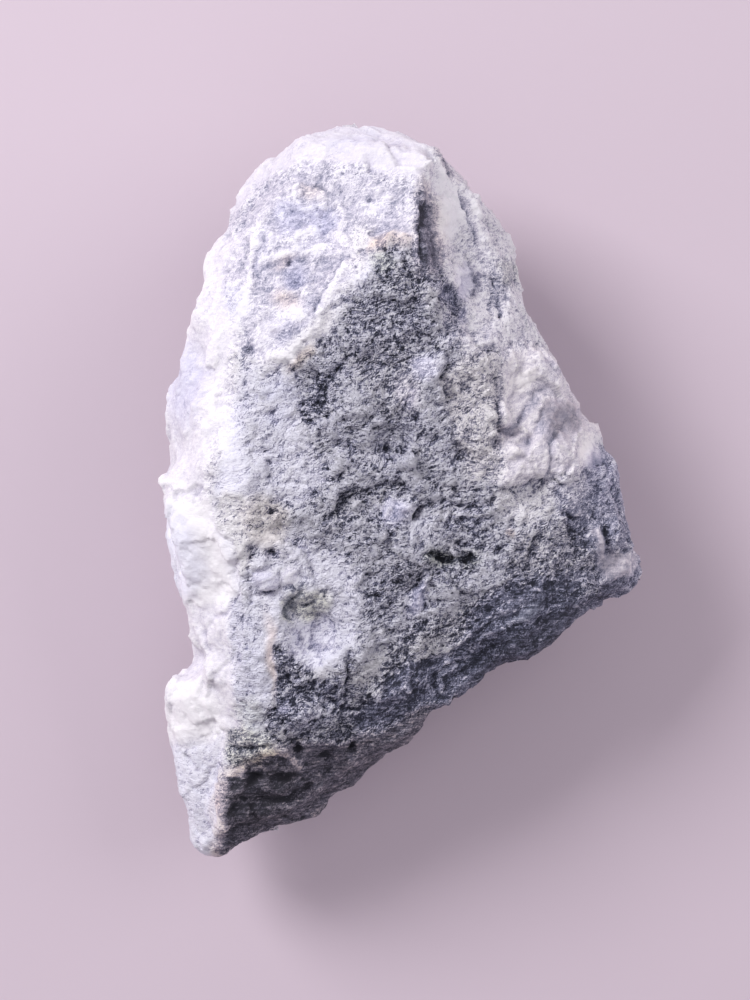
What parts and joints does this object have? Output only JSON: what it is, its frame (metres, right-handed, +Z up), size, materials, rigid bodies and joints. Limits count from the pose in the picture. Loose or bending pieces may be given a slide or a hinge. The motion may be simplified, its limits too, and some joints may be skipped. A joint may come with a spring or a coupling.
{
  "type": "raw larimar stone",
  "caption": "Rough wedge-shaped stone with a slate-blue crumbly main face, chalk-white flanks, a pointed lower tip and a flat spot to rest on.",
  "frame": {"origin": "bottom centre of the stone's box, on the surface that it rests on", "axes": "+Y along the stone's length towards its broad rounded end, +X across it to the side of the right-hand corner, +Z up from the flat spot"},
  "size_m": [0.0478, 0.0736, 0.0311],
  "materials": {
    "larimar": "rough, powdery broken stone"
  },
  "bodies": {
    "root": {"larimar_stone": "larimar"}
  },
  "joints": []
}
